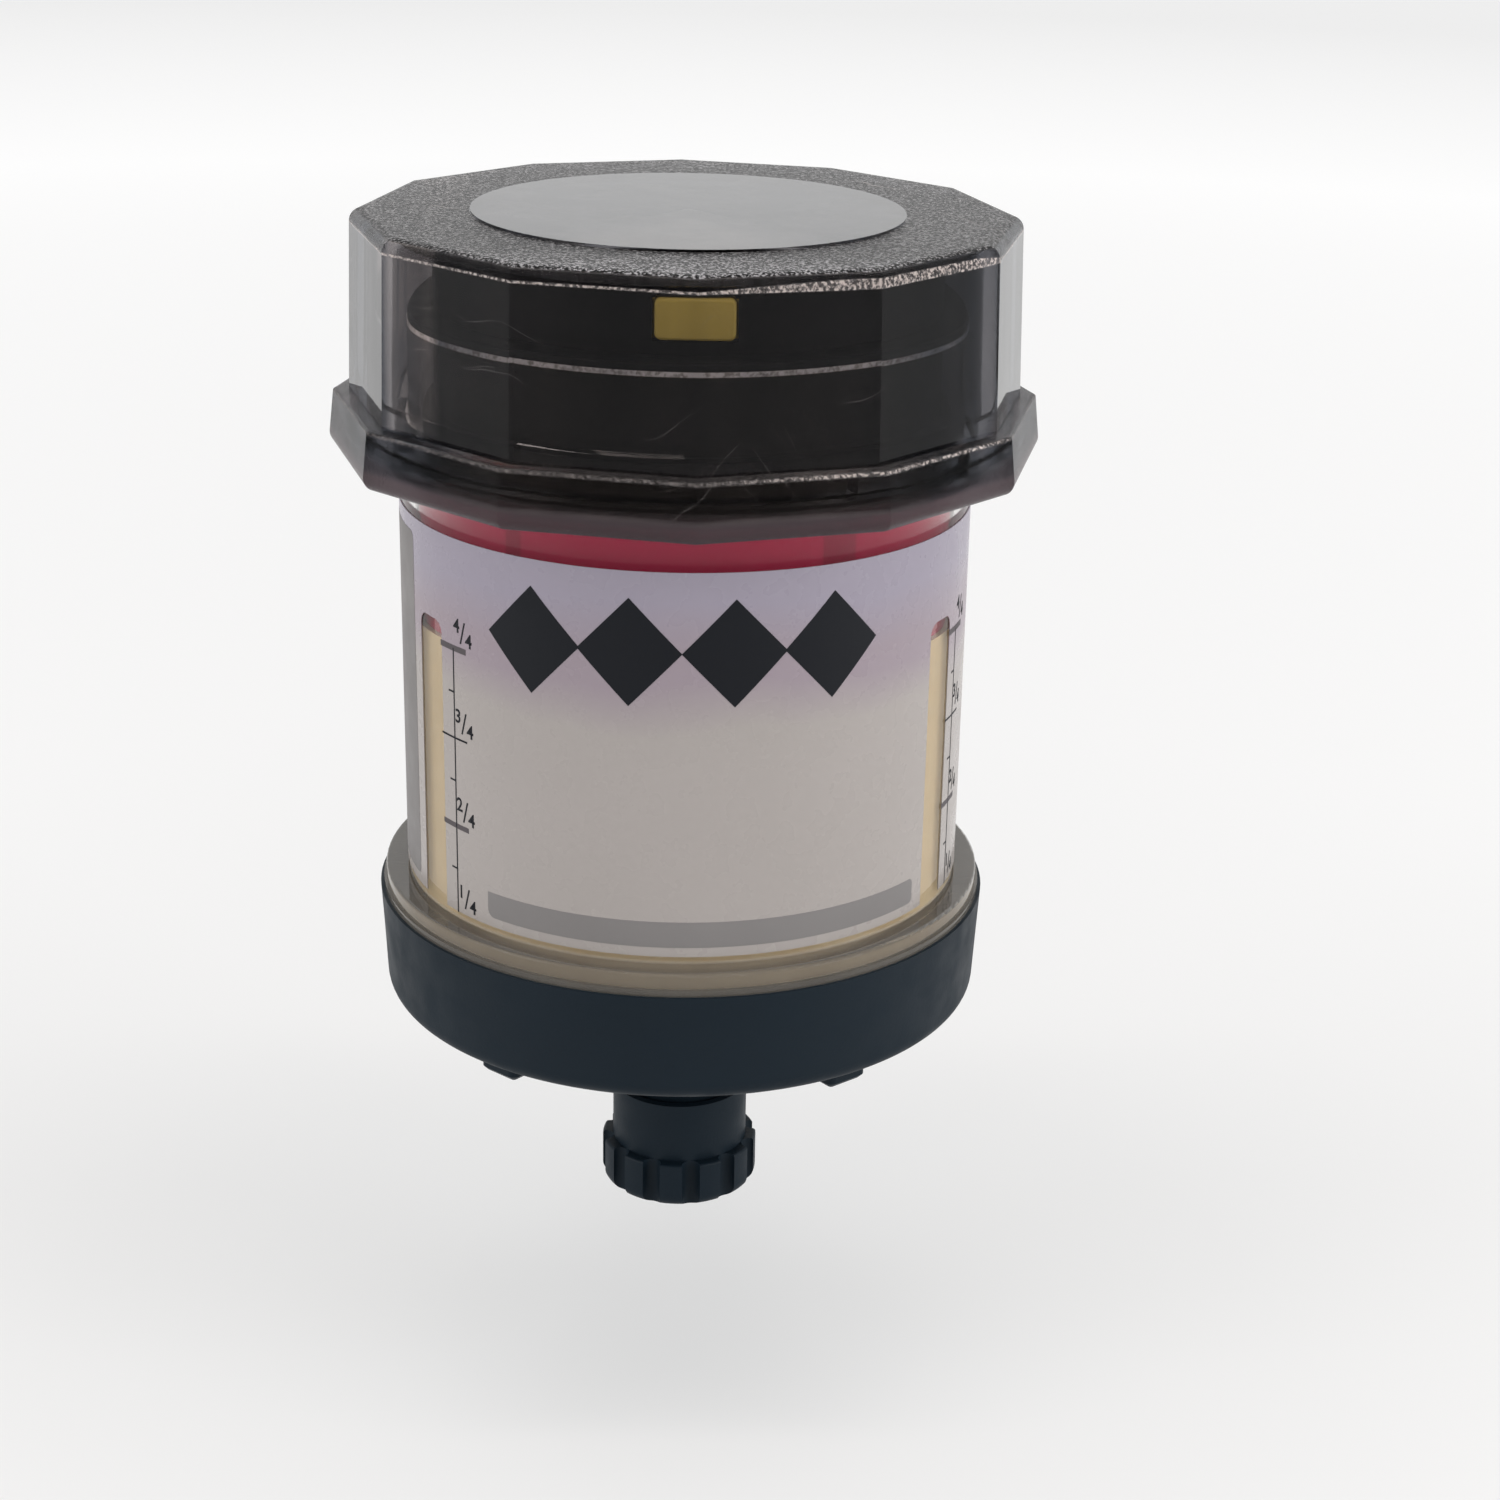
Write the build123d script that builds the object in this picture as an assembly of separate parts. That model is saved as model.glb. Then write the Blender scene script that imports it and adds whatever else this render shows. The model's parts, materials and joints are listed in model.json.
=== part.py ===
from build123d import *
import os
from math import acos, cos, hypot, pi, radians, sin, sqrt, tan

# Automatic lubricator, 250 ml, motor driven. Millimetres, +Z up, -Y is the front.
# Z = 0 is the shoulder of the outlet thread, and the Z axis runs through the lead screw.

# --- Driving dimensions ---
bore_r = 38.75                # inside of the clear reservoir
reservoir_wall = 2.25
quarter_mark = 13.2           # height of one quarter of the fill scale
label_low = 43.5
label_high = 98.8
label_thick = 0.15
window_angles = (-59.0, 61.0, 181.0)    # sight windows, degrees from the front towards +X
window_half_angle = 4.5
window_corner = 1.8
window_gap = 12.8             # label above each window

base_low = 22.7               # underside of the base cup
base_rim = 39.1               # the reservoir's foot flange rests here
base_floor = 27.5             # the grease stands on this face
flange_bead = 1.0             # height of the bead round the flange's foot
flange_width = 3.8            # how far the foot flange stands out of the reservoir
base_draft = 3.0              # degrees
foot_lug_angles = (-42, 38, 138, 218)
foot_lug_high = 3.8

thread_r = 6.58               # G1/4 outlet thread, crest
thread_length = 10.0
collar_r = 8.2                # the outlet cap turns on this collar
closure_sleeve_r = 10.4
closure_grip_r = 12.0
closure_lobes = 12
closure_turn = 9.0            # turn of the grip's grooves about Z, degrees
closure_floor_thick = 1.8
groove_r = 1.4                # grooves of the grip

piston_low = 83.0             # underside of the piston when the reservoir is full
piston_height = 21.2
hub_height = 14.0             # piston's hub, which the nut fills
nut_flange = 1.4
wiper_thick = 1.8
screw_r = 5.0                 # lead screw, crest
seal_width = 2.4

rim_high = 125.6              # top edge of the reservoir
housing_low = 105.8           # underside of the drive housing
housing_high = 135.4
floor_thick = 2.0
rim_flange = 1.1              # the drive housing hangs from the reservoir's rim by this flange
gear_thick = 3.6
gear_module = 0.7
driven_teeth = 48
pinion_teeth = 12
pressure_angle = 20.0
cell_r = 7.25                 # AA cell
cell_length = 50.5
motor_r = 7.75
motor_height = 14.8
motor_foot = (12.0, 4.0)      # half length and half width of the motor's foot
board_thick = 1.4
button_width = 10.0
button_height = 5.4
button_x = 0.95               # middle of the button, to the right of the front
button_proud = 0.8            # how far the button stands out of the housing
button_travel = 1.2
button_corner = 0.9

cap_sides = 12
cap_angle = 1.5               # turn of the cap about Z, degrees
cap_low = 105.0
cap_high = 138.9
cap_wall = 2.2
cap_taper = 0.8               # how much the wall's corners lean in from foot to top
cap_room = 0.32               # from the seat ring's bore out to the wall's inside
ledge_high = 113.4            # top of the skirt
ledge_width = 2.2             # from the wall's corners out to the skirt's
skirt_flare = 0.95            # how much the skirt's corners lean out from top to foot
skirt_ring_low = 109.0        # the thick ring over the hollow skirt, which seats on the seal
disc_r = 30.4
disc_rise = 0.35              # the polished disc stands out of the cap's grained top
lug_angles = (-15.6, 104.4, 224.4)      # reservoir lugs, degrees from the front towards +X
lug_sweep = 31.0
hook_sweep = 28.0             # the cap's hooks between the lugs

# --- Clearances ---
running = 0.05                # a shaft in its bore
slip = 0.3                    # between a moving piece and a curved wall
seat = 0.1                    # axial play at a shoulder
screw_hole = 0.25             # round a screw that passes through a plate

# --- Sizes that follow ---
reservoir_r = bore_r + reservoir_wall
flange_r = reservoir_r + flange_width
base_rim_r = flange_r + 0.5
flange_high = base_rim + 3.2
tube_low = base_floor + 0.7
stroke = 4 * quarter_mark
cap_ceiling = cap_high - cap_wall + 0.2
cap_ring_r = reservoir_r + 2.75
flat_share = cos(pi / cap_sides)        # of a corner radius, at the middle of a flat
cap_foot_r = (cap_ring_r + cap_room + cap_wall) / flat_share
cap_top_r = cap_foot_r - cap_taper
skirt_top_r = cap_foot_r + ledge_width
skirt_low_r = skirt_top_r + skirt_flare
lug_r = cap_ring_r - 0.55
lug_low = skirt_ring_low + 3.5
collar_high = skirt_ring_low - 1.2
plug_r = bore_r - slip
housing_upper_r = plug_r - 2.25
housing_inner_r = housing_upper_r - 2.0
housing_groove = housing_low + 2.5
plug_high = housing_low + 7.4         # top of the thick band that seals in the reservoir
housing_floor = housing_low + floor_thick
journal_r = screw_r - 1.0
gear_seat_r = screw_r - 2.0
bush_flange = 0.9
gear_low = housing_floor + 1.2
gear_high = gear_low + gear_thick
chassis_low = gear_high + 1.2
chassis_high = chassis_low + 1.4
chassis_r = housing_inner_r - 0.5
cell_z = chassis_high + cell_r + slip
cell_front_y = -10.2
cell_rear_y = cell_front_y + 2 * cell_r + 0.8
contact_thick = 0.5
end_wall_x = cell_length / 2 + 1.85     # the tray's end walls carry the contacts
end_wall_half = cell_r - 0.75
board_low = chassis_high + motor_height + 0.6
board_high = board_low + board_thick
cover_high = housing_high
cover_low = cover_high - 1.8
motor_y = gear_module * (driven_teeth + pinion_teeth) / 2
post_r = 2.5
post_places = ((-17, 19.5), (17, 19.5), (-14, -21), (14, -21))
chassis_screw_r = 1.0
boss_r = 3.0                  # bosses of the cover screws
cover_recess = 1.2            # depth of each cover screw's seat
cover_screw_grip = 5.5        # thread in the boss
cover_screw_ring_r = housing_upper_r - 4.7
board_r = cover_screw_ring_r - boss_r - 0.5
cover_screw_angles = (20, 120, 240, 340)
motor_screw_x = motor_foot[0] - 2.1
motor_screw_places = ((-motor_screw_x, motor_y), (motor_screw_x, motor_y))
button_low = board_high - 3.2
button_front = -(housing_upper_r + button_proud)
button_back = -(housing_inner_r - 0.8)
neck_r = closure_sleeve_r - 1.1
collar_top = 6.0
closure_sleeve_high = 4.0
closure_floor = -thread_length - 1.0
closure_low = closure_floor - closure_floor_thick
grip_high = -5.4
outlet_r = 3.5
spider_r = 11.2
spider_low = base_floor - 3.0
foot_journal_low = spider_low + 1.0
thread_low = base_floor + 1.5
hub_r = 10.0
nut_r = 7.0


def rod(radius, low, high, x=0, y=0):
    """An upright cylinder between two heights."""
    return Pos(x, y, low) * Cylinder(radius, high - low, align=(Align.CENTER, Align.CENTER, Align.MIN))


def tube(outer, inner, low, high, x=0, y=0):
    """An upright ring between two heights."""
    return rod(outer, low, high, x, y) - rod(inner, low - 1, high + 1, x, y)


def cone(low_r, high_r, low, high):
    """An upright truncated cone."""
    return Pos(0, 0, low) * Cone(low_r, high_r, high - low, align=(Align.CENTER, Align.CENTER, Align.MIN))


def block(x0, x1, y0, y1, low, high):
    """A box given by its limits."""
    middle = Pos((x0 + x1) / 2, (y0 + y1) / 2, (low + high) / 2)
    return middle * Box(x1 - x0, y1 - y0, high - low)


def wedge(angle, sweep, reach, low, high):
    """A slice of pie about Z. The angle counts from the front towards +X."""
    first, last = (radians(angle + side * sweep / 2) for side in (-1, 1))
    start = (reach * sin(first), -reach * cos(first))
    end = (reach * sin(last), -reach * cos(last))
    return Pos(0, 0, low) * extrude(make_face(Polyline((0, 0), start, end, close=True)), high - low)


def sector(outer, inner, angle, sweep, low, high):
    """A piece of an upright ring."""
    return tube(outer, inner, low, high) & wedge(angle, sweep, 2 * outer, low, high)


def cap_polygon(corner_r, z):
    """One twelve-sided section of the cap."""
    return Pos(0, 0, z) * Rot(0, 0, cap_angle) * RegularPolygon(corner_r, cap_sides)


def cap_prism(low_r, high_r, low, high):
    """A drafted twelve-sided block."""
    return loft([cap_polygon(low_r, low), cap_polygon(high_r, high)])


def cheese_screw(shank_r, head_r, seat_z, tip_z, head_high, x, y):
    """A screw with its cheese head on seat_z."""
    return rod(shank_r, tip_z, seat_z, x, y) + rod(head_r, seat_z, seat_z + head_high, x, y)


# --- Reservoir, label and grease ---

def make_reservoir():
    """Clear tube with a beaded foot flange, and the collar and lugs that carry the cap."""
    body = tube(reservoir_r, bore_r, tube_low, rim_high)
    body += tube(flange_r, bore_r, base_rim, base_rim + flange_bead)
    body += tube(flange_r - 0.4, bore_r, base_rim, flange_high)
    body += tube(cap_ring_r + 0.85, bore_r, collar_high - 2, collar_high)
    for angle in lug_angles:
        body += sector(lug_r, bore_r, angle, lug_sweep, lug_low, lug_low + 2.3)
    circles = body.edges().filter_by(GeomType.CIRCLE)
    flange_top = circles.filter_by_position(Axis.Z, flange_high - 0.01, flange_high + 0.01)
    return fillet(flange_top.sort_by(SortBy.RADIUS)[-1], 0.4)


def make_label():
    """Printed wrap with three sight windows that are open at its lower edge."""
    body = tube(reservoir_r + label_thick, reservoir_r, label_low, label_high)
    window_high = label_high - window_gap
    for angle in window_angles:
        reach = reservoir_r + 1
        half = reservoir_r * sin(radians(window_half_angle))
        window = Rectangle(2 * half, 2 * (window_high - label_low))
        window = fillet(window.vertices(), window_corner)
        window = Plane.XZ.offset(reach - 5) * Pos(0, label_low) * window
        body -= Rot(0, 0, angle) * extrude(window, 5)
    return body


def make_grease():
    """The grease charge, a plain column round the lead screw."""
    return tube(bore_r - running, nut_r, base_floor + seat, piston_low - seat)


# --- Base and outlet ---

def make_base():
    """Cup that holds the reservoir's foot, with four lugs and the threaded outlet spigot."""
    low_r = base_rim_r - (base_rim - base_low) * tan(radians(base_draft))
    cup = cone(low_r, base_rim_r, base_low, base_rim)
    cup = fillet(cup.edges().sort_by(Axis.Z)[0], 2.6)
    cup -= rod(reservoir_r + slip, base_floor, base_rim + 1)
    cup -= tube(reservoir_r + slip, bore_r, base_floor - 1.2, base_floor + 1)
    for angle in foot_lug_angles:
        cup += Rot(0, 0, angle) * foot_lug()
    cup += cone(neck_r, neck_r + 3.7, base_low - 10.7, base_low)
    cup += rod(neck_r, collar_top, base_low - 10)
    cup += rod(collar_r, 0, collar_top)
    tip = rod(thread_r, -thread_length, 0)
    cup += chamfer(tip.edges().sort_by(Axis.Z)[0], 0.8)
    cup -= rod(spider_r + running, spider_low, base_floor + 1)
    cup -= rod(spider_r - 2.7, spider_low - 4.5, spider_low + 1)
    cup -= rod(outlet_r, -thread_length - 1, spider_low)
    return cup


def foot_lug():
    """One low lug under the base, drawn at the front."""
    lug = block(-3.5, 3.5, -39.5, -33.5, base_low - foot_lug_high, base_low + 1)
    lug = fillet(lug.edges().filter_by(Axis.Z), 1.2)
    return chamfer(lug.faces().sort_by(Axis.Z)[0].edges(), 0.7)


def make_base_seal():
    """Square ring under the reservoir's lower edge."""
    return tube(reservoir_r - seat, bore_r + seat, base_floor - 1.2, tube_low)


def make_foot_bearing():
    """Spider that holds the lead screw's lower end and lets the grease pass."""
    ring = tube(spider_r, spider_r - 2.7, spider_low, base_floor)
    hub_low = rod(gear_seat_r + 2.2, spider_low, base_floor + 1)
    for angle in (0, 120, 240):
        ring += Rot(0, 0, angle) * block(-1.3, 1.3, 4, spider_r - 1.5, spider_low, base_floor)
    return ring + hub_low - rod(gear_seat_r + running, foot_journal_low - seat, base_floor + 2)


def make_outlet_cap():
    """Transport cap: a smooth sleeve over a grip with twelve lobes."""
    grip = rod(closure_grip_r, closure_low, grip_high)
    grip = fillet(grip.edges().sort_by(Axis.Z)[0], 2.0)
    grip = fillet(grip.edges().sort_by(Axis.Z)[-1], 0.5)
    for step in range(closure_lobes):
        groove = rod(groove_r, closure_low - 1, grip_high + 1, 0, -closure_sleeve_r - groove_r)
        grip -= Rot(0, 0, closure_turn + step * 360 / closure_lobes) * groove
    body = grip + rod(closure_sleeve_r, closure_low + 1, closure_sleeve_high)
    body -= rod(thread_r + 0.72, closure_floor, 0.5)
    body -= rod(collar_r + running, -seat, closure_sleeve_high + 1)
    body -= cone(collar_r, collar_r + 1.2, closure_sleeve_high - 1.0, closure_sleeve_high + 0.2)
    return body


def make_outlet_gasket():
    """Soft disc that seals the outlet's end inside its cap."""
    return rod(thread_r + 0.6, closure_floor, -thread_length)


# --- Piston ---

def make_piston():
    """Cup-shaped follower with ribs, a hub for the nut and two seal grooves."""
    body = tube(bore_r - 0.5, bore_r - 4.55, piston_low, piston_low + piston_height)
    body += rod(bore_r - 4, piston_low, piston_low + 3)
    body += rod(hub_r, piston_low, piston_low + hub_height)
    for step in range(6):
        rib = block(-0.9, 0.9, hub_r - 1, bore_r - 4, piston_low + 2, piston_low + 9)
        body += Rot(0, 0, step * 60) * rib
    for low in seal_grooves():
        body -= tube(bore_r, bore_r - 2.4, low, low + seal_width + 2 * seat)
    body -= rod(nut_r, piston_low - 1, piston_low + hub_height + 1)
    return body


def seal_grooves():
    """Lower faces of the two seal grooves."""
    return (piston_low + 0.8, piston_low + 12.0)


def make_piston_seal(groove_low):
    """Seal ring with an outer lip."""
    low = groove_low + seat
    ring = tube(bore_r - slip - 0.6, bore_r - 2.3, low, low + seal_width)
    lip = cone(bore_r - slip, bore_r - slip - 0.7, low, low + seal_width)
    return ring + (lip - rod(bore_r - slip - 1, low - 1, low + seal_width + 1))


def make_piston_nut():
    """Flanged nut that the lead screw drives."""
    flange_z = piston_low + hub_height
    nut = rod(nut_r, piston_low + wiper_thick, flange_z) + rod(nut_r + 2, flange_z, flange_z + nut_flange)
    return nut - rod(screw_r + running, piston_low, flange_z + nut_flange + 1)


def make_screw_wiper():
    """Soft ring under the nut that keeps the grease off the thread above."""
    return tube(nut_r, screw_r + slip, piston_low, piston_low + wiper_thick)


# --- Drive train ---

def make_lead_screw():
    """Turned screw: foot journal, thread, thrust collar, top journal and gear seat."""
    body = rod(gear_seat_r, foot_journal_low, thread_low)
    body += rod(screw_r, thread_low, housing_low - bush_flange - 1.6)
    body += rod(screw_r + 2, housing_low - bush_flange - 1.7, housing_low - bush_flange - seat)
    body += rod(journal_r, housing_low - bush_flange - seat, gear_low)
    body += gear_seat(gear_low - 0.1, chassis_low - 0.3)
    body -= tube(gear_seat_r + 1, gear_seat_r - 0.6, gear_high, gear_high + 0.6)
    return body


def gear_seat(low, high):
    """The D-shaped end that turns the driven gear."""
    flat = block(gear_seat_r - 0.7, gear_seat_r + 1, -4, 4, low - 1, high + 1)
    return rod(gear_seat_r, low, high) - flat


def make_gear_clip():
    """Snap ring that holds the driven gear on the screw."""
    ring = tube(gear_seat_r + 1.5, gear_seat_r - 0.55, gear_high + 0.05, gear_high + 0.55)
    return ring - block(0, 6, -1.2, 1.2, gear_high - 1, gear_high + 2)


def involute_angle(radius, base_r):
    """Polar angle that an involute has turned through at a radius."""
    return sqrt(max((radius / base_r) ** 2 - 1, 0)) - acos(min(base_r / radius, 1))


def gear_blank(teeth, low, turn):
    """Involute spur gear with backlash, one tooth's middle at the turn angle."""
    pitch_r = gear_module * teeth / 2
    base_r = pitch_r * cos(radians(pressure_angle))
    tip_r = pitch_r + 0.8 * gear_module
    root_r = pitch_r - 1.1 * gear_module
    half_at_pitch = 0.44 * pi / teeth
    flank = []
    for step in range(4):
        radius = max(root_r, base_r) + (tip_r - max(root_r, base_r)) * step / 3
        spread = involute_angle(pitch_r, base_r) - involute_angle(radius, base_r)
        flank.append((radius, half_at_pitch + spread))
    if root_r < base_r:
        flank.insert(0, (root_r, flank[0][1]))
    points = []
    for tooth in range(teeth):
        middle = turn + 2 * pi * tooth / teeth
        points += [(r * cos(middle - a), r * sin(middle - a)) for r, a in flank]
        points += [(r * cos(middle + a), r * sin(middle + a)) for r, a in reversed(flank)]
    return Pos(0, 0, low) * extrude(make_face(Polyline(*points, close=True)), gear_thick)


def make_driven_gear():
    """Gear on the lead screw, with a lightened web."""
    gear = gear_blank(driven_teeth, gear_low, pi / 2)
    gear -= tube(14, 6.5, gear_low + 2.2, gear_high + 1)
    return gear - gear_seat(gear_low - 1, gear_high + 1)


def make_motor_pinion():
    """Pinion on the motor shaft. A gap between two teeth faces the driven gear's tooth."""
    gear = gear_blank(pinion_teeth, gear_low, -pi / 2 + pi / pinion_teeth)
    return Pos(0, motor_y, 0) * gear - rod(1.5, gear_low - 1, gear_high + 1, 0, motor_y)


def make_motor_shaft():
    """Output shaft of the gear motor."""
    return rod(1.5, gear_low - 0.4, chassis_high + 4, 0, motor_y)


def make_gear_motor():
    """Gear motor with a flanged foot that carries its two screws."""
    body = rod(motor_r, chassis_high, chassis_high + motor_height, 0, motor_y)
    foot_x, foot_y = motor_foot
    foot = block(-foot_x, foot_x, motor_y - foot_y, motor_y + foot_y, chassis_high, chassis_high + 1.2)
    body += fillet(foot.edges().filter_by(Axis.Z), 1.5)
    for x, y in motor_screw_places:
        body -= rod(chassis_screw_r, chassis_high - 1, chassis_high + 2, x, y)
    return body - rod(1.5 + running, chassis_high - 1, chassis_high + 4.4, 0, motor_y)


def make_motor_screws():
    """Two short screws through the motor's foot."""
    seat_z = chassis_high + 1.2
    tip_z = chassis_low + 0.2
    return Compound([cheese_screw(0.9, 1.6, seat_z, tip_z, 1.0, x, y) for x, y in motor_screw_places])


# --- Drive housing and its fittings ---

def make_drive_housing():
    """Black cup with a sealing band, a flange on the reservoir's rim, pillars and screw bosses."""
    body = rod(plug_r, housing_low, plug_high) + rod(housing_upper_r, plug_high, housing_high)
    flange = rod(reservoir_r - 0.1, rim_high, rim_high + rim_flange)
    body += chamfer(flange.edges().sort_by(Axis.Z)[-1], 0.3)
    body = fillet(body.edges().sort_by(Axis.Z)[-1], 0.6)
    body -= rod(housing_inner_r, housing_floor, housing_high + 1)
    body -= rod(screw_r + 1, housing_low - 1, housing_floor + 1)
    body -= tube(plug_r + 1, plug_r - 1.5, housing_groove, housing_groove + seal_width + 2 * seat)
    for x, y in post_places:
        body += rod(post_r, housing_floor, chassis_low, x, y)
        body -= rod(chassis_screw_r, housing_floor + 0.8, chassis_low + 1, x, y)
    for x, y in cover_screw_places():
        body += boss_on_wall(x, y)
        body -= rod(chassis_screw_r, cover_low - cover_screw_grip - 0.5, cover_low + 1, x, y)
    button_top = button_low + button_height
    return body - button_opening(-housing_upper_r - 1, -board_r - 2, button_low - slip, button_top + slip)


def button_opening(y0, y1, low, high):
    """Room for the button between two depths and two heights."""
    half = button_width / 2 + slip
    return block(button_x - half, button_x + half, y0, y1, low, high)


def cover_screw_places():
    """Middles of the cover screws."""
    turns = [radians(angle) for angle in cover_screw_angles]
    return [(cover_screw_ring_r * sin(turn), -cover_screw_ring_r * cos(turn)) for turn in turns]


def boss_on_wall(x, y):
    """Boss for one cover screw, cut flush with the inside of the wall."""
    inside = rod(housing_upper_r - 0.5, rim_high, cover_low)
    return rod(boss_r, cover_low - cover_screw_grip - 2, cover_low, x, y) & inside


def make_housing_seal():
    """Ring between the drive housing and the reservoir."""
    low = housing_groove + seat
    return tube(bore_r - seat, plug_r - 1.5, low, low + seal_width)


def make_screw_bush():
    """Flanged bearing bush for the lead screw's top journal."""
    bush = rod(screw_r + 1, housing_low, housing_floor + 0.8)
    bush += rod(screw_r + 3, housing_low - bush_flange, housing_low)
    return bush - rod(journal_r + running, housing_low - 2, gear_low)


def make_chassis():
    """Tray over the gears, with posts for the board and end walls for the cells."""
    body = rod(chassis_r, chassis_low, chassis_high)
    for side in (-1, 1):
        low_x, high_x = sorted((side * end_wall_x, side * (end_wall_x + 1.4)))
        low_y, high_y = cell_front_y - end_wall_half, cell_rear_y + end_wall_half
        wall = block(low_x, high_x, low_y, high_y, chassis_low, cell_z + 4)
        body += wall & rod(chassis_r, chassis_low, board_low)
    body += block(-20, 20, cell_front_y + cell_r + 0.2, cell_rear_y - cell_r - 0.2, chassis_low, cell_z - 4)
    for x, y in post_places:
        body += rod(post_r, chassis_low, board_low, x, y)
        body -= rod(chassis_screw_r + screw_hole, chassis_low - 1, board_low + 1, x, y)
    for x, y in motor_screw_places:
        body -= rod(0.9, chassis_low - 1, chassis_high + 1, x, y)
    return body - rod(2.2, chassis_low - 1, chassis_high + 1, 0, motor_y)


def make_chassis_screws():
    """Four long screws through the board and the tray into the housing's pillars."""
    tip_z = housing_floor + 1
    return Compound([cheese_screw(chassis_screw_r, 2.0, board_high, tip_z, 1.2, x, y) for x, y in post_places])


def make_cell(y, side):
    """One AA cell lying along X, its button end on the given side."""
    body = Pos(-side * 0.5, y, cell_z) * Rot(0, 90, 0) * Cylinder(cell_r, cell_length - 1)
    button = Pos(side * (cell_length / 2 - 1), y, cell_z) * Rot(0, 90, 0) * Cylinder(2.7, 2)
    return body + button


def make_battery_contacts():
    """Four pressed plates with a raised dimple, on the tray's end walls."""
    plates = []
    plate_x = end_wall_x - contact_thick / 2
    for y in (cell_front_y, cell_rear_y):
        for side in (-1, 1):
            low_x, high_x = sorted((side * (end_wall_x - contact_thick), side * end_wall_x))
            plate = block(low_x, high_x, y - 5, y + 5, cell_z - 6, cell_z + 3.5)
            dimple = Pos(side * (plate_x - 0.75), y, cell_z) * Rot(0, 90, 0) * Cylinder(2.4, 1.4)
            plates.append(plate + dimple)
    return Compound(plates)


def make_circuit_board():
    """Round control board with its fixing holes and its larger components."""
    body = rod(board_r, board_low, board_high)
    for x, y in post_places:
        body -= rod(chassis_screw_r + screw_hole, board_low - 1, board_high + 1, x, y)
    body += block(-5, 5, -4, 4, board_high - 0.1, board_high + 1.1)
    body += block(9, 14, -8, -2, board_high - 0.1, board_high + 1.2)
    body += block(-14, -10, 4, 9, board_high - 0.1, board_high + 1.2)
    return body


def make_button_switch():
    """Side-acting switch on the board's front edge, behind the button."""
    body = block(button_x - 3, button_x + 3, -board_r - 0.6, -board_r + 2.6, board_high, board_high + 1.4)
    plunger_reach = button_back + 1 + button_travel + slip
    plunger = Pos(button_x, (plunger_reach - board_r - 0.4) / 2, board_high + 0.7) * Rot(90, 0, 0)
    return body + plunger * Cylinder(0.6, abs(plunger_reach + board_r + 0.4))


def make_mode_button():
    """Yellow push button with a flange that keeps it in the housing."""
    half = button_width / 2
    head = block(-half, half, button_front, button_back, button_low, button_low + button_height)
    head = fillet(head.edges().filter_by(Axis.Y), button_corner)
    head = fillet(head.faces().sort_by(Axis.Y)[0].edges(), 0.4)
    flange_high_z = min(button_low + button_height - 0.8, cover_low - 0.2)
    flange = block(-half - 1.2, half + 1.2, button_back, button_back + 1, button_low - 1, flange_high_z)
    return Pos(button_x, 0, 0) * (head + flange)


def make_drive_cover():
    """Lid of the drive housing, notched over the button."""
    body = rod(housing_inner_r - 0.15, cover_low, cover_high)
    for x, y in cover_screw_places():
        body -= rod(chassis_screw_r + screw_hole, cover_low - 1, cover_high + 1, x, y)
        body -= rod(2.1, cover_high - cover_recess, cover_high + 1, x, y)
    notch_back = button_back + button_travel + slip
    return body - button_opening(-housing_upper_r, notch_back, cover_low - 1, cover_high + 1)


def make_cover_screws():
    """Four screws sunk in the cover."""
    seat_z = cover_high - cover_recess
    tip_z = cover_low - cover_screw_grip
    screws = [cheese_screw(chassis_screw_r, 2.0, seat_z, tip_z, 1.1, x, y) for x, y in cover_screw_places()]
    return Compound(screws)


# --- Cap ---

def make_smoke_cap():
    """Cap, twelve-sided outside and round inside, with a flared skirt, a seat ring and three hooks."""
    wall = cap_prism(cap_foot_r, cap_top_r, ledge_high - 1, cap_high)
    wall = fillet(wall.faces().sort_by(Axis.Z)[-1].edges(), 2.0)
    skirt = cap_prism(skirt_low_r, skirt_top_r, cap_low, ledge_high)
    skirt = fillet(skirt.faces().sort_by(Axis.Z)[0].edges(), 2.0)
    skirt = fillet(skirt.faces().sort_by(Axis.Z)[-1].edges(), 0.5)
    body = wall + skirt
    body += rod(disc_r, cap_high - 0.5, cap_high + disc_rise)
    inner_low_r = cap_foot_r * flat_share - cap_wall
    inner_high_r = cap_top_r * flat_share - cap_wall
    body -= cone(inner_low_r, inner_high_r, ledge_high + 2, cap_ceiling)
    body -= rod(cap_ring_r, skirt_ring_low - 1, ledge_high + 3)
    hollow_r = skirt_low_r * flat_share - cap_wall
    body -= cone(hollow_r, hollow_r - 0.4, cap_low - 1, skirt_ring_low)
    for angle in lug_angles:
        hook_r = reservoir_r + 2 * slip
        body += sector(cap_ring_r + 0.3, hook_r, angle + 60, hook_sweep, skirt_ring_low, lug_low - 0.6)
    return body


def make_cap_seal():
    """Ring on the reservoir's collar that the cap seats on."""
    return tube(cap_ring_r + 0.75, cap_ring_r - 0.35, collar_high, skirt_ring_low)


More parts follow.
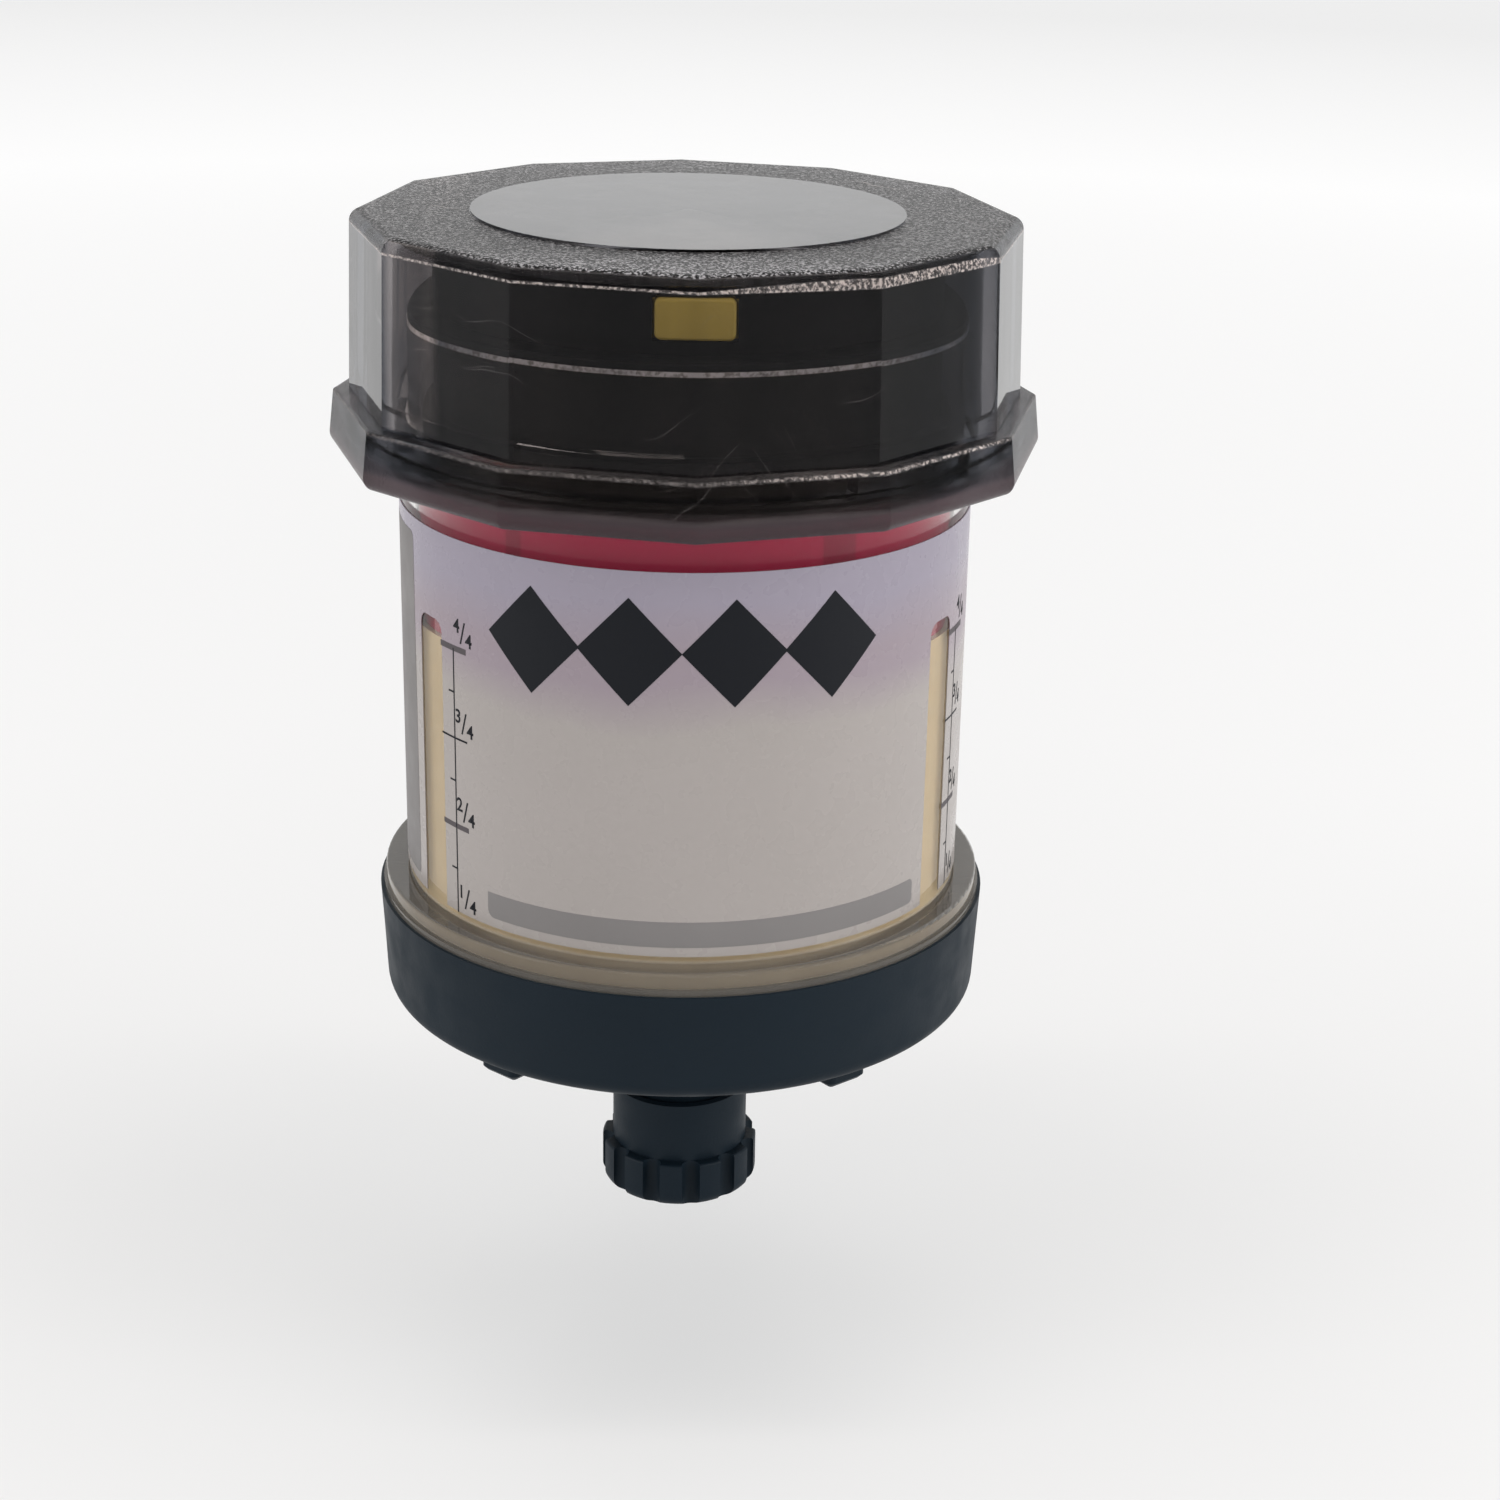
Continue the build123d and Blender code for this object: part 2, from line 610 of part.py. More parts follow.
def make_parts():
    """Every node of the lubricator by name."""
    low_groove, high_groove = seal_grooves()
    return {
        "reservoir": make_reservoir(),
        "label": make_label(),
        "grease": make_grease(),
        "base": make_base(),
        "base_seal": make_base_seal(),
        "foot_bearing": make_foot_bearing(),
        "outlet_cap": make_outlet_cap(),
        "outlet_gasket": make_outlet_gasket(),
        "piston": make_piston(),
        "piston_lower_seal": make_piston_seal(low_groove),
        "piston_upper_seal": make_piston_seal(high_groove),
        "piston_nut": make_piston_nut(),
        "screw_wiper": make_screw_wiper(),
        "lead_screw": make_lead_screw(),
        "gear_clip": make_gear_clip(),
        "driven_gear": make_driven_gear(),
        "motor_pinion": make_motor_pinion(),
        "motor_shaft": make_motor_shaft(),
        "gear_motor": make_gear_motor(),
        "motor_screws": make_motor_screws(),
        "drive_housing": make_drive_housing(),
        "housing_seal": make_housing_seal(),
        "screw_bush": make_screw_bush(),
        "chassis": make_chassis(),
        "chassis_screws": make_chassis_screws(),
        "front_cell": make_cell(cell_front_y, 1),
        "rear_cell": make_cell(cell_rear_y, -1),
        "battery_contacts": make_battery_contacts(),
        "circuit_board": make_circuit_board(),
        "button_switch": make_button_switch(),
        "mode_button": make_mode_button(),
        "drive_cover": make_drive_cover(),
        "cover_screws": make_cover_screws(),
        "smoke_cap": make_smoke_cap(),
        "cap_seal": make_cap_seal(),
    }


os.makedirs("parts", exist_ok=True)
for name, shape in make_parts().items():
    export_step(shape, f"parts/{name}.step")
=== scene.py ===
"""Looks of the automatic lubricator: camera, studio, materials and the print on the label."""
import json
from math import cos, pi, radians, sin

import bmesh
import bpy
from mathutils import Matrix, Vector


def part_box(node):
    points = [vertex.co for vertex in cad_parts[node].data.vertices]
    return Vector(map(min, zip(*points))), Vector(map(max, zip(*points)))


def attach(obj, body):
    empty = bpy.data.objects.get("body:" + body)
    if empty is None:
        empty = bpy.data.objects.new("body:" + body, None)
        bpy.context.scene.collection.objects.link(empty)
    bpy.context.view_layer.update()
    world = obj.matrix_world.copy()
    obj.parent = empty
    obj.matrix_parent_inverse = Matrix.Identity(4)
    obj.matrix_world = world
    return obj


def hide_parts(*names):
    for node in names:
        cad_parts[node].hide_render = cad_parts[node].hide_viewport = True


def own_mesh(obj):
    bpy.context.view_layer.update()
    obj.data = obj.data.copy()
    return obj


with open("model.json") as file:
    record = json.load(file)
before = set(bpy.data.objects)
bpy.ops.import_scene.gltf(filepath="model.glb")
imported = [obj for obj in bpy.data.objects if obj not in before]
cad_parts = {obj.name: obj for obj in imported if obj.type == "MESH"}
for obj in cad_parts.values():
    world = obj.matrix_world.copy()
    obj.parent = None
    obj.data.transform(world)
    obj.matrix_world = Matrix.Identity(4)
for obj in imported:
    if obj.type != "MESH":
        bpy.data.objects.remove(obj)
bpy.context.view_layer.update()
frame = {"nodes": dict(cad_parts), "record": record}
nodes = frame["nodes"]

MM = 0.001

# --- Camera: its place in metres, and its turns in degrees ---
CAMERA_PLACE = (0.0, -0.3954, 0.2082)
CAMERA_PITCH = 20.70            # downwards
CAMERA_YAW = 2.43               # to the right
CAMERA_ROLL = 1.459
CAMERA_LENS = 67.77             # mm, for a picture 36 mm wide
CAMERA_SHIFT = -0.0303          # share of the picture's width

# --- Sizes shared with the solids, in millimetres ---
BORE_R = 38.75                  # inside of the reservoir
LABEL_R = 41.15                 # outside of the label
SCREW_ROOM_R = 7.0              # the lead screw passes through the grease
WET_OVERLAP = 0.04              # the grease reaches this far into the reservoir's wall
GREASE_LOW = 27.6
GREASE_HIGH = 82.9
FLANGE_HIGH = 42.3              # top of the reservoir's foot flange
RIM_HIGH = 125.6                # top edge of the reservoir
CAP_LOW = 105.0
LEDGE_HIGH = 113.4              # top of the cap's skirt
CAP_HIGH = 138.9
CAP_EDGE = 2.0                  # rounding of the cap's top edge
SHELL_R = 45.2                  # between the cap's round hollow and its flat sides
DISC_R = 30.4                   # polished disc on the cap

# --- Marks in the plastics, in millimetres. A pair says where a mark starts and where it is full ---
RIM_HIGHLIGHT_DEPTH = 0.75              # painted highlight: a white band under the reservoir's top edge, standing for light on that edge
RIM_HIGHLIGHT_EDGE = 0.15
DULL_FLANGE = (0.6, 0.0)        # over the reservoir's foot flange
DULL_FOOT = (3.6, 2.6)          # over the cap's lower edge
GRAINED_TOP = (-0.5, -0.25)     # from the cap's top
GRAIN_SCALE = 2400.0            # of the noise, per metre
GRAIN_DEPTH = 0.2
FLOW_DEPTH = 0.06               # slow waves in the cap's walls
NEAR_SIDE = (-30, -42)          # painted light: the grain is painted paler on this side, along Y
PAINTED_TAN_BAND_X = -36.2              # painted light: an upright tan band on the cap's left
PAINTED_TAN_BAND_HALF = (4.2, 2.6)
PAINTED_PALE_FRONT = (44, 30)           # painted light and shade: the front paler than the sides, degrees to either side of the front
SCRATCH_HALF = 0.07
SCRATCHES = (
    # lean, distance between lines, scale of the noise that breaks them up
    (0.8, 7.1, 55.0),
    (-0.45, 9.3, 75.0),
)
# Painted highlights on the top's rounding and on the skirt's ledge, standing for light on these edges
HIGHLIGHT_WIDENS = (2, 24)            # degrees round from the front
HIGHLIGHT_NARROWS = (66, 56)
HIGHLIGHT_HALF = (0.26, 0.75)         # narrow and wide
HIGHLIGHT_RISE = 0.3                  # the wide part's middle is this much higher
HIGHLIGHT_SOFT = -0.15                # full this far inside the line's edge
LEDGE_HIGHLIGHT = (0.42, 0.12)        # to either side of its middle
LEDGE_HIGHLIGHT_LOW = 0.3             # its middle is this far below the skirt's top
LEDGE_FAINT = 0.55              # strength away from the wide part
PISTON_SHADE_FIELDS = ((-36.2, 2.2), (32, 4.2))       # painted dark reflections on the piston: degrees round from the front, and half width
PISTON_SHADE_EDGE = 0.6
PAINTED_PINK_HEIGHTS = (77.2, 83.2)     # painted light from behind the film: the label turns pink, and then lilac, between these
PAINTED_LILAC_HEIGHTS = (86.7, 93.7)
TINT_WANDER = 2.0               # how far the edge between two tints wanders

# --- Print on the label: degrees round from the front, and sizes in millimetres ---
SECTORS = (0, 120, 240)         # one scale beside each window
BARS = (
    # height, quarters, thickness (the lowest has no bar of its own)
    (83.05, 4, 0.85),
    (69.85, 3, 0.28),
    (56.65, 2, 0.75),
    (43.4, 1, 0.0),
)
BAR_SPAN = (-54.9, -46.6)
GREY_BAR_THICK = 0.5            # thicker bars are grey
TICK_HEIGHTS = (76.6, 63.45, 50.1)
TICK_SPAN = (-52.3, -50.4)
TICK_HALF = 0.13
SCALE_LINE = -50.5
SCALE_LINE_HALF = 0.17          # degrees
FRACTION_PLACE = -47.6
FRACTION_TOP = (-1.75, 2.5)     # degrees from the fraction's place, and millimetres above its bar
FRACTION_FOOT = (1.9, 0.8)
SLASH_SPAN = (-0.75, 0.55)
SLASH_RISE = (1.0, 4.2)
SLASH_WIDTH = 0.3
FIGURE_SIZE = 2.8
FIGURE_WEIGHT = 0.045           # how much the font is thickened
DIAMOND_PLACES = (-29.95, -10.4, 9.56, 29.12)
DIAMOND_MIDDLE = 87.55
DIAMOND_HALF = (7.2, 7.57)
FIELD_SPAN = (-41.3, 53.0)      # pale band at the foot of the front, and the panel beside it
BAND_HEIGHTS = (44.9, 48.7)
BAND_CORNERS = (1.2, 0.8, 0.8, 0.1)
PANEL_TURN = -120
PANEL_HIGH = 96.6
PANEL_CORNERS = (1.2, 1.2, 1.2, 1.2)
INK_SUNK = 0.01                 # how deep the ink starts in the label
INK_THICK = 0.035
CORNER_STEPS = 6
STRIP_WIDTH = 1                 # the print is cut this fine before it is wrapped
JOIN_DISTANCE = 0.0005          # points nearer than this are joined
CUT_TOLERANCE = 0.0001

# --- Colours of the graded and see-through materials, linear ---
WHITE = (1.0, 1.0, 1.0)
WALL_TINTS = ((0.93, 0.91, 0.88), (0.97, 0.96, 0.95))
WALL_GLOSS = (0.5, 0.5, 0.5)                # tint of what it mirrors straight on
WALL_PASSES = (0.95, 0.94, 0.92)            # light that goes through it
FLANGE_TONES = ((0.20, 0.18, 0.16), (0.30, 0.275, 0.235))
# painted highlight under the reservoir's top edge
RIM_HIGHLIGHT_WHITE = (0.93, 0.95, 0.98)
SMOKE_DARK = (0.06, 0.066, 0.08)
# pale of the streaks, and of the painted light on the cap's front and left band
SMOKE_PALE_AND_PAINTED_LIGHT = (0.54, 0.48, 0.46)
SMOKE_FOOT = (0.115, 0.092, 0.10)
SMOKE_GLOSS = (0.1, 0.1, 0.1)
SMOKE_PASSES = (0.75, 0.73, 0.72)
GRAIN_PITS = (0.0, 0.0, 0.0)
GRAIN_FAR = (0.34, 0.33, 0.335)
# grain painted lighter on the near side
GRAIN_LIT_NEAR = (0.70, 0.68, 0.70)
# warm white of the scratches and of the painted edge highlights
WEAR_AND_HIGHLIGHT_WHITE = (0.85, 0.74, 0.69)
LABEL_WHITES = ((0.345, 0.317, 0.30), (0.375, 0.343, 0.33))
# painted light showing through the label from behind
PAINTED_PINK_LIGHT = (0.30, 0.25, 0.285)
PAINTED_LILAC_LIGHT = (0.30, 0.272, 0.335)
LABEL_PASSES = (0.75, 0.74, 0.72)
PISTON_REDS = ((0.29, 0.0018, 0.036), (0.35, 0.0024, 0.046))
# painted shade on the piston
PISTON_PAINTED_SHADE = (0.1, 0.0008, 0.014)
GREASE_CREAMS = ((0.46, 0.35, 0.205), (0.56, 0.46, 0.31))
FLOOR_LIT = (0.8, 0.8, 0.8)
FLOOR_SEEN = (0.42, 0.42, 0.42)

# --- Plain materials, by slot ---
MOULDED = {
    "charcoal_plastic": {"base": (0.006, 0.0122, 0.0188), "rough": 0.5, "specular": 0.12},
    "black_plastic": {"base": (0.006, 0.008, 0.0115), "rough": 0.45, "specular": 0.25},
    "yellow_plastic": {"base": (0.95, 0.74, 0.17), "rough": 0.4},
    "switch_plastic": {"base": (0.03, 0.03, 0.032), "rough": 0.5},
    "white_acetal": {"base": (0.75, 0.74, 0.70), "rough": 0.4, "tone": 0.04},
    "seal_rubber": {"base": (0.02, 0.02, 0.02), "rough": 0.7},
    "piston_seal_rubber": {"base": (0.30, 0.005, 0.034), "rough": 0.4},
    "cell_jacket": {"base": (0.10, 0.14, 0.20), "rough": 0.25},
    "board_laminate": {"base": (0.015, 0.12, 0.05), "rough": 0.3},
}
METALS = {
    "turned_steel": {"base": (0.62, 0.61, 0.60), "rough": 0.3},
    "screw_steel": {"base": (0.60, 0.58, 0.55), "rough": 0.3},
    "motor_steel": {"base": (0.55, 0.55, 0.56), "rough": 0.35, "turned": False},
    "nickel_plate": {"base": (0.72, 0.70, 0.66), "rough": 0.2, "turned": False},
    "brass_part": {"base": (0.75, 0.53, 0.22), "rough": 0.3},
}
INKS = {
    "black_ink": (0.008, 0.009, 0.012),
    "grey_ink": (0.085, 0.075, 0.08),
    "pale_ink": (0.205, 0.195, 0.193),
}

# --- Studio: lengths in metres ---
SKY_LIGHT = 0.40
LAMP_TARGET = (0, 0, 0.07)
LAMPS = (
    # name, place, width, height, watts, colour
    ("top_box", (0, -0.1, 1.4), 1.2, 1.2, 5.0, WHITE),
    ("edge_strip", (0, -0.35, 1.2), 1.4, 0.1, 4.0, (1.0, 0.93, 0.88)),
    ("right_box", (1.1, -0.45, 0.5), 0.8, 1.0, 10.2, WHITE),
    ("left_box", (-1.1, -0.45, 0.5), 0.8, 1.0, 7.2, WHITE),
    ("rear_box", (0, 1.6, 0.8), 2.4, 1.0, 0.8, WHITE),
)
FLOOR_HALF = 6.0
FLOOR_DROP = 31.0               # millimetres: the outlet cap comes off 30 mm downwards
FLOOR_GLOW = (
    # from and to this far from the axis, with these strengths
    (0.1, 1.2, 0.0, 0.4),
    (1.0, 5.0, 0.0, 0.22),
    (0.3, 2.0, 0.41, 0.17),
)


def add_camera():
    """Camera in front of the lubricator, a little above the cap."""
    pitch, yaw, roll = (radians(a) for a in (CAMERA_PITCH, CAMERA_YAW, CAMERA_ROLL))
    forward = Vector((sin(yaw) * cos(pitch), cos(yaw) * cos(pitch), -sin(pitch)))
    level = Vector((cos(yaw), -sin(yaw), 0))
    raised = level.cross(forward)
    right = level * cos(roll) + raised * sin(roll)
    up = raised * cos(roll) - level * sin(roll)
    data = bpy.data.cameras.new("camera")
    data.lens = CAMERA_LENS
    data.shift_x = CAMERA_SHIFT
    camera = bpy.data.objects.new("camera", data)
    turn = Matrix((right, up, -forward)).transposed().to_4x4()
    camera.matrix_world = Matrix.Translation(CAMERA_PLACE) @ turn
    bpy.context.scene.collection.objects.link(camera)
    bpy.context.scene.camera = camera


# --- Shader helpers ---

class Graph:
    """Short calls that add nodes to one node tree."""

    def __init__(self, tree):
        self.tree = tree
        tree.nodes.clear()

    def make(self, kind, inputs=None, **settings):
        """Adds a node. Each input takes a value or another node's output."""
        node = self.tree.nodes.new(kind)
        for name, value in settings.items():
            setattr(node, name, value)
        for key, value in (inputs or {}).items():
            self.put(node.inputs[key], value)
        return node

    def put(self, socket, value):
        """Links an output to a socket, or sets the socket's own value."""
        if isinstance(value, bpy.types.NodeSocket):
            self.tree.links.new(value, socket)
        elif socket.type == "RGBA":
            socket.default_value = (*value, 1.0)
        else:
            socket.default_value = value

    def math(self, operation, *values, clamp=False):
        """One Math node."""
        node = self.make("ShaderNodeMath", dict(enumerate(values)), operation=operation)
        node.use_clamp = clamp
        return node.outputs[0]

    def plus(self, first, second):
        """Sum of two values."""
        return self.math("ADD", first, second)

    def times(self, first, second):
        """Product of two values."""
        return self.math("MULTIPLY", first, second)

    def most(self, first, second):
        """The larger of two values."""
        return self.math("MAXIMUM", first, second)

    def off(self, value, middle):
        """How far a value is from a middle, to either side."""
        return self.math("ABSOLUTE", self.math("SUBTRACT", value, middle))

    def above(self, length, limit):
        """1 where a length is over a limit in millimetres, and 0 elsewhere."""
        return self.math("GREATER_THAN", length, limit * MM)

    def between(self, value, low, high, to_low=0.0, to_high=1.0):
        """Maps a value from one range to another, clamped."""
        inputs = {0: value, 1: low, 2: high, 3: to_low, 4: to_high}
        return self.make("ShaderNodeMapRange", inputs).outputs[0]

    def fade(self, length, start, end):
        """Goes from 0 to 1 between two lengths in millimetres."""
        return self.between(length, start * MM, end * MM)

    def fade_over(self, length, base, pair):
        """Goes from 0 to 1 between two lengths above a base, in millimetres."""
        return self.fade(length, base + pair[0], base + pair[1])

    def mix(self, factor, first, second):
        """Mixes two colours."""
        node = self.make("ShaderNodeMix", data_type="RGBA")
        for index, value in ((0, factor), (6, first), (7, second)):
            self.put(node.inputs[index], value)
        return node.outputs[2]

    def either_ray(self, first, second):
        """1 for rays of either of two kinds, by their names in Light Path."""
        kinds = self.make("ShaderNodeLightPath").outputs
        return self.most(kinds[first], kinds[second])

    def seen(self):
        """1 for rays that show a thing: straight, mirrored or through glass."""
        camera = self.make("ShaderNodeLightPath").outputs["Is Camera Ray"]
        return self.most(camera, self.either_ray("Is Glossy Ray", "Is Transmission Ray"))


class Shader(Graph):
    """One new material, with calls that read the object's own coordinates."""

    def __init__(self, name):
        self.material = bpy.data.materials.new(name)
        self.material.use_nodes = True
        super().__init__(self.material.node_tree)
        self.place = self.make("ShaderNodeTexCoord").outputs["Object"]

    def axes(self):
        """The object's x, y and z."""
        return self.make("ShaderNodeSeparateXYZ", {0: self.place}).outputs

    def stretched(self, across, along):
        """The object's coordinates, scaled across and along the upright axis."""
        x, y, z = self.axes()
        inputs = {0: self.times(x, across), 1: self.times(y, across), 2: self.times(z, along)}
        return self.make("ShaderNodeCombineXYZ", inputs).outputs[0]

    def radius(self):
        """Distance from the upright axis."""
        x, y, _ = self.axes()
        return self.math("SQRT", self.plus(self.times(x, x), self.times(y, y)))

    def turn(self):
        """Angle round from the front, in radians, positive to the right."""
        x, y, _ = self.axes()
        return self.math("ARCTAN2", x, self.times(y, -1.0))

    def noise(self, scale, detail=2.0, roughness=0.5, vector=None):
        """Noise from 0 to 1 over the object's own coordinates."""
        inputs = {"Vector": vector or self.place, "Scale": scale, "Detail": detail, "Roughness": roughness}
        return self.make("ShaderNodeTexNoise", inputs).outputs[0]

    def uneven(self, scale, low, high):
        """Roughness that varies in patches between two values."""
        return self.between(self.noise(scale, 3.0), 0.3, 0.7, low, high)

    def bump(self, height, distance):
        """Normal from a height, with the bump's depth in metres."""
        return self.make("ShaderNodeBump", {"Height": height, "Distance": distance}).outputs[0]

    def principled(self, inputs):
        """The Principled shader with these inputs."""
        return self.make("ShaderNodeBsdfPrincipled", inputs).outputs[0]

    def let_through(self, shader, rays, tint):
        """Lets some rays pass straight through a shader, with a tint."""
        clear = self.make("ShaderNodeBsdfTransparent", {"Color": tint}).outputs[0]
        return self.make("ShaderNodeMixShader", {0: rays, 1: shader, 2: clear}).outputs[0]

    def surface(self, shader):
        """Connects the finished shader and gives the material."""
        self.make("ShaderNodeOutputMaterial", {"Surface": shader})
        return self.material


def scaled(base, factor):
    """A colour made darker or lighter."""
    return tuple(min(channel * factor, 1) for channel in base)


# --- Plain materials ---

def moulded(name, base, rough, specular=0.5, grain=0.00002, grain_scale=2200.0, tone=0.12):
    """Moulded plastic or rubber: fine grain, slight patches of tone and of gloss."""
    s = Shader(name)
    return s.surface(s.principled({
        "Base Color": s.mix(s.noise(60.0, 3.0), scaled(base, 1 - tone), scaled(base, 1 + tone)),
        "Roughness": s.uneven(180.0, rough - 0.08, rough + 0.08),
        "Specular IOR Level": specular,
        "Normal": s.bump(s.noise(grain_scale, 3.0, 0.6), grain),
    }))


def ink(name, base):
    """Printed ink, slightly uneven."""
    return moulded(name, base, 0.5, 0.12, grain=0.000004, grain_scale=3000.0, tone=0.08)


def metal(name, base, rough, turned=True):
    """Metal with fine lines round the axis, or a plain drawn finish."""
    s = Shader(name)
    lines = s.noise(4000.0, 2.0, 0.6, s.stretched(0.1 if turned else 1.0, 1.0))
    return s.surface(s.principled({
        "Base Color": s.mix(s.noise(120.0, 3.0), scaled(base, 0.85), base),
        "Metallic": 1.0,
        "Roughness": s.between(lines, 0.3, 0.7, rough - 0.08, rough + 0.1),
        "Normal": s.bump(lines, 0.000006),
    }))


def red_plastic():
    """Red piston with two darker fields on the front, painted as dark reflections in the wall before it."""
    s = Shader("red_plastic")
    turn = s.turn()
    darker = 0.0
    # painted shade: darker fields standing for dark reflections, fixed round from the front
    for middle, half in PISTON_SHADE_FIELDS:
        field = s.between(s.off(turn, radians(middle)), radians(half), radians(half - PISTON_SHADE_EDGE))
        darker = s.most(field, darker)
    red = s.mix(s.noise(60.0, 3.0), *PISTON_REDS)
    return s.surface(s.principled({
        "Base Color": s.mix(s.times(darker, 0.45), red, PISTON_PAINTED_SHADE),
        "Roughness": s.uneven(180.0, 0.34, 0.46),
        "Specular IOR Level": 0.15,
        "Normal": s.bump(s.noise(2200.0, 3.0, 0.6), 0.00002),
    }))


def grease_fill():
    """Cream grease, wet against the wall."""
    s = Shader("grease_fill")
    swirls = s.noise(90.0, 4.0, 0.6)
    return s.surface(s.principled({
        "Base Color": s.mix(swirls, *GREASE_CREAMS),
        "Roughness": s.between(swirls, 0.3, 0.7, 0.35, 0.5),
        "Subsurface Weight": 0.3,
        "Subsurface Radius": (0.004, 0.003, 0.002),
        "Normal": s.bump(swirls, 0.0003),
    }))


# --- See-through materials ---

def see_through(s, inputs, tint):
    """Clear plastic that lets light from lamps and from lit surfaces pass with a tint."""
    rays = s.either_ray("Is Shadow Ray", "Is Diffuse Ray")
    return s.surface(s.let_through(s.principled(inputs), rays, tint))


def clear_plastic():
    """Clear reservoir with a faint warm tint, soft flow waves, a white band under its rim as a painted
    highlight, and a dull foot flange.
    """
    s = Shader("clear_plastic")
    z = s.axes()[2]
    foot = s.fade_over(z, FLANGE_HIGH, DULL_FLANGE)
    # painted highlight: a white band under the top edge, broken up by noise
    rim = s.fade(z, RIM_HIGH - RIM_HIGHLIGHT_DEPTH, RIM_HIGH - RIM_HIGHLIGHT_DEPTH + RIM_HIGHLIGHT_EDGE)
    rim = s.times(rim, s.between(s.noise(1600.0), 0.3, 0.55, 0.45, 1.0))
    clear = s.mix(s.noise(40.0), *WALL_TINTS)
    darker = s.mix(s.noise(120.0, 3.0), *FLANGE_TONES)
    milky_and_highlight = s.mix(rim, darker, RIM_HIGHLIGHT_WHITE)
    inputs = {
        "Base Color": s.mix(s.most(foot, rim), clear, milky_and_highlight),
        "Roughness": s.between(s.noise(300.0), 0.3, 0.8, 0.01, 0.06),
        "IOR": 1.36,
        "Specular Tint": WALL_GLOSS,
        "Transmission Weight": s.math("SUBTRACT", s.between(foot, 0.0, 1.0, 1.0, 0.62), rim, clamp=True),
        "Normal": s.bump(s.noise(90.0, 1.0), 0.00008),
    }
    return see_through(s, inputs, WALL_PASSES)


def smoke_streaks(s, x, z):
    """Upright streaks in the smoke plastic, from 0 to 1, with painted light: the front painted paler and a
    tan band painted on the left.
    """
    streak = s.between(s.noise(110.0, 3.0, 0.6, s.stretched(1.0, 0.06)), 0.35, 0.7, -0.1, 0.15)
    front = s.between(s.math("ABSOLUTE", s.turn()), *map(radians, PAINTED_PALE_FRONT), 0.02, 0.45)
    band = s.fade(s.off(x, PAINTED_TAN_BAND_X * MM), *PAINTED_TAN_BAND_HALF)
    band = s.times(band, s.above(z, LEDGE_HIGH + 0.3))
    return s.math("ADD", streak, s.most(front, band), clamp=True)


def scratches(s, x, y, z):
    """Sparse fine scratches that run askew, from 0 to 1."""
    wander = s.times(s.noise(40.0), 0.02)
    lines = 0.0
    for lean, pitch, scale in SCRATCHES:
        askew = s.plus(s.plus(s.times(s.plus(x, y), lean), z), wander)
        repeat = s.math("FRACT", s.math("DIVIDE", askew, pitch * MM))
        line = s.math("LESS_THAN", s.off(repeat, 0.5), SCRATCH_HALF / pitch)
        lines = s.most(s.times(line, s.between(s.noise(scale), 0.56, 0.66)), lines)
    return lines


def rubbed_edges(s, z, outer):
    """Painted highlights along the cap's edges, wider on the front right of the top's rounding."""
    turn = s.turn()
    wide = s.times(s.between(turn, *map(radians, HIGHLIGHT_WIDENS)), s.between(turn, *map(radians, HIGHLIGHT_NARROWS)))
    round_low = CAP_HIGH - CAP_EDGE
    top_half = s.between(wide, 0.0, 1.0, HIGHLIGHT_HALF[0] * MM, HIGHLIGHT_HALF[1] * MM)
    top_middle = s.between(wide, 0.0, 1.0, round_low * MM, (round_low + HIGHLIGHT_RISE) * MM)
    top = s.fade(s.math("SUBTRACT", s.off(z, top_middle), top_half), 0.0, HIGHLIGHT_SOFT)
    ledge = s.fade(s.off(z, (LEDGE_HIGH - LEDGE_HIGHLIGHT_LOW) * MM), *LEDGE_HIGHLIGHT)
    ledge = s.times(ledge, s.between(wide, 0.0, 1.0, LEDGE_FAINT, 1.0))
    return s.times(s.most(top, ledge), outer)


def smoke_colour(s, fine, wear_and_highlight, milky_and_highlight, foot):
    """Tint of the smoke plastic, with pale speckle on its grain and a warm white on its scratches and
    painted edge highlights.
    """
    x, y, z = s.axes()
    tint = s.mix(smoke_streaks(s, x, z), SMOKE_DARK, SMOKE_PALE_AND_PAINTED_LIGHT)
    tint = s.mix(foot, tint, SMOKE_FOOT)
    # painted light: the grain's speckle is painted paler on the near side
    bright = s.mix(s.fade(y, *NEAR_SIDE), GRAIN_FAR, GRAIN_LIT_NEAR)
    speckle = s.mix(s.between(fine, 0.48, 0.62), GRAIN_PITS, bright)
    speckle = s.mix(wear_and_highlight, speckle, WEAR_AND_HIGHLIGHT_WHITE)
    return s.mix(milky_and_highlight, tint, speckle)


